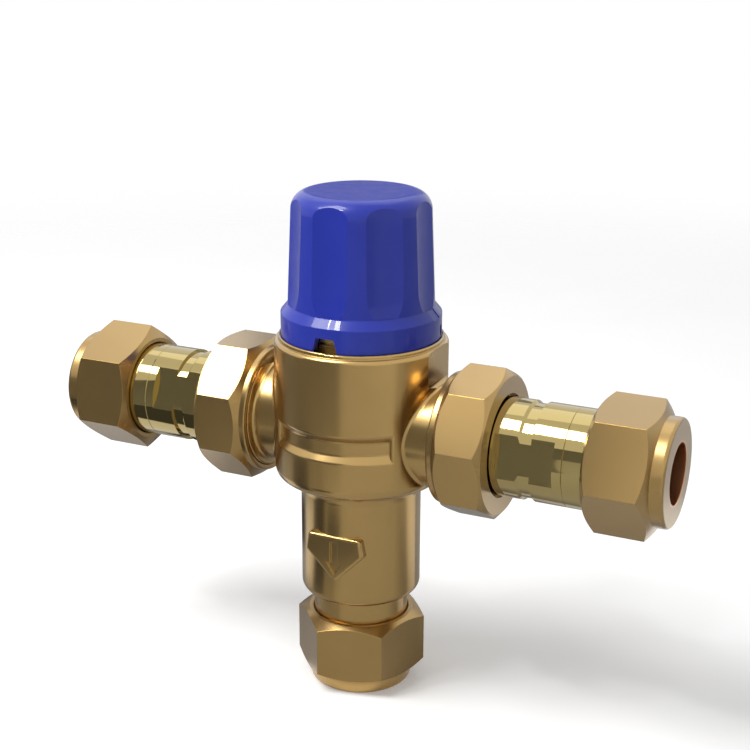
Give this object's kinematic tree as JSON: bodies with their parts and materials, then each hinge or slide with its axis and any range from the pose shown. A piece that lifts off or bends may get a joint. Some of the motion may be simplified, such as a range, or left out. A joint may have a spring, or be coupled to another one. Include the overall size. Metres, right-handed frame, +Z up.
{
  "type": "thermostatic mixing valve",
  "caption": "Brass mixing valve: upright body under a fluted blue cap, hot and cold union inlets on opposite sides, mixed outlet below, with a wax cartridge and check valves inside.",
  "frame": {"origin": "centre of the outlet nut's end face, on the body's upright axis", "axes": "+Z up along the body's axis towards the cap; X along the inlets, cold inlet at +X; -Y is the front with the panel and the arrow"},
  "size_m": [0.1672, 0.0448, 0.1329],
  "materials": {
    "black_rubber": "matte",
    "blue_plastic": "gloss",
    "cast_brass": "satin",
    "copper": "satin",
    "polished_brass": "polished",
    "spring_steel": "satin",
    "turned_brass": "satin",
    "white_plastic": "matte"
  },
  "bodies": {
    "body": {"valve_body": "cast_brass", "bonnet": "turned_brass", "bonnet_seal": "black_rubber", "cap_ring": "black_rubber", "spindle_seal": "black_rubber", "spindle_clip": "spring_steel", "hot_seat": "turned_brass", "left_union_washer": "black_rubber", "left_strainer": "spring_steel", "right_union_washer": "black_rubber", "right_strainer": "spring_steel"},
    "cap": {"cap": "blue_plastic"},
    "spindle": {"spindle": "turned_brass"},
    "carrier": {"carrier": "turned_brass", "carrier_clip": "spring_steel", "overtravel_spring": "spring_steel", "plunger": "turned_brass", "element_rod": "spring_steel"},
    "shuttle": {"shuttle": "white_plastic", "shuttle_seal": "black_rubber", "element": "copper", "return_spring": "spring_steel"},
    "outlet_olive": {"outlet_olive": "polished_brass"},
    "outlet_nut": {"outlet_nut": "turned_brass"},
    "left_tail": {"left_tail_inner": "polished_brass", "left_tail_outer": "polished_brass", "left_check_cage": "white_plastic"},
    "left_union_nut": {"left_union_nut": "turned_brass"},
    "left_check_poppet": {"left_check_poppet": "white_plastic", "left_check_seal": "black_rubber", "left_check_spring": "spring_steel"},
    "left_olive": {"left_olive": "polished_brass"},
    "left_inlet_nut": {"left_inlet_nut": "turned_brass"},
    "right_tail": {"right_tail_inner": "polished_brass", "right_tail_outer": "polished_brass", "right_check_cage": "white_plastic"},
    "right_union_nut": {"right_union_nut": "turned_brass"},
    "right_check_poppet": {"right_check_poppet": "white_plastic", "right_check_seal": "black_rubber", "right_check_spring": "spring_steel"},
    "right_olive": {"right_olive": "polished_brass"},
    "right_inlet_nut": {"right_inlet_nut": "turned_brass"}
  },
  "joints": [
    {"name": "cap_lift", "type": "slide", "parent": "body", "child": "cap", "axis": [0, 0, 1], "range_m": [0, 0.045]},
    {"name": "spindle_turn", "type": "hinge", "parent": "body", "child": "spindle", "pos_m": [0, 0, 0.11], "axis": [0, 0, 1], "range_deg": [-360, 360]},
    {"name": "carrier_travel", "type": "slide", "parent": "body", "child": "carrier", "axis": [0, 0, 1], "range_m": [-0.00152, 0.00152]},
    {"name": "shuttle_stroke", "type": "slide", "parent": "body", "child": "shuttle", "axis": [0, 0, 1], "range_m": [-0.0008, 0.0008], "stiffness_N_per_m": 4000, "deforming": ["return_spring"]},
    {"name": "outlet_olive_slide", "type": "slide", "parent": "body", "child": "outlet_olive", "axis": [0, 0, -1], "range_m": [0, 0.0091]},
    {"name": "outlet_nut_turn", "type": "hinge", "parent": "outlet_olive", "child": "outlet_nut", "pos_m": [0, 0, 0.01], "axis": [0, 0, -1], "range_deg": [0, 1800]},
    {"name": "left_tail_slide", "type": "slide", "parent": "body", "child": "left_tail", "axis": [-1, 0, 0], "range_m": [0, 0.00925]},
    {"name": "left_union_nut_turn", "type": "hinge", "parent": "left_tail", "child": "left_union_nut", "pos_m": [-0.034, 0, 0.07215], "axis": [-1, 0, 0], "range_deg": [0, 1440]},
    {"name": "left_check_stroke", "type": "slide", "parent": "left_tail", "child": "left_check_poppet", "axis": [1, 0, 0], "range_m": [0, 0.003], "stiffness_N_per_m": 30, "springref_m": -0.02, "deforming": ["left_check_spring"]},
    {"name": "left_olive_slide", "type": "slide", "parent": "left_tail", "child": "left_olive", "axis": [-1, 0, 0], "range_m": [0, 0.0091]},
    {"name": "left_inlet_nut_turn", "type": "hinge", "parent": "left_olive", "child": "left_inlet_nut", "pos_m": [-0.074, 0, 0.07215], "axis": [-1, 0, 0], "range_deg": [0, 1800]},
    {"name": "right_tail_slide", "type": "slide", "parent": "body", "child": "right_tail", "axis": [1, 0, 0], "range_m": [0, 0.00925]},
    {"name": "right_union_nut_turn", "type": "hinge", "parent": "right_tail", "child": "right_union_nut", "pos_m": [0.034, 0, 0.07215], "axis": [1, 0, 0], "range_deg": [0, 1440]},
    {"name": "right_check_stroke", "type": "slide", "parent": "right_tail", "child": "right_check_poppet", "axis": [-1, 0, 0], "range_m": [0, 0.003], "stiffness_N_per_m": 30, "springref_m": -0.02, "deforming": ["right_check_spring"]},
    {"name": "right_olive_slide", "type": "slide", "parent": "right_tail", "child": "right_olive", "axis": [1, 0, 0], "range_m": [0, 0.0091]},
    {"name": "right_inlet_nut_turn", "type": "hinge", "parent": "right_olive", "child": "right_inlet_nut", "pos_m": [0.074, 0, 0.07215], "axis": [1, 0, 0], "range_deg": [0, 1800]}
  ],
  "couplings": [
    {"joint": "carrier_travel", "follows": "spindle_turn", "m_per_rad": -0.00023873},
    {"joint": "outlet_olive_slide", "follows": "outlet_nut_turn", "m_per_rad": 0.00028876},
    {"joint": "left_tail_slide", "follows": "left_union_nut_turn", "m_per_rad": 0.00036751},
    {"joint": "left_olive_slide", "follows": "left_inlet_nut_turn", "m_per_rad": 0.00028876},
    {"joint": "right_tail_slide", "follows": "right_union_nut_turn", "m_per_rad": 0.00036751},
    {"joint": "right_olive_slide", "follows": "right_inlet_nut_turn", "m_per_rad": 0.00028876}
  ]
}
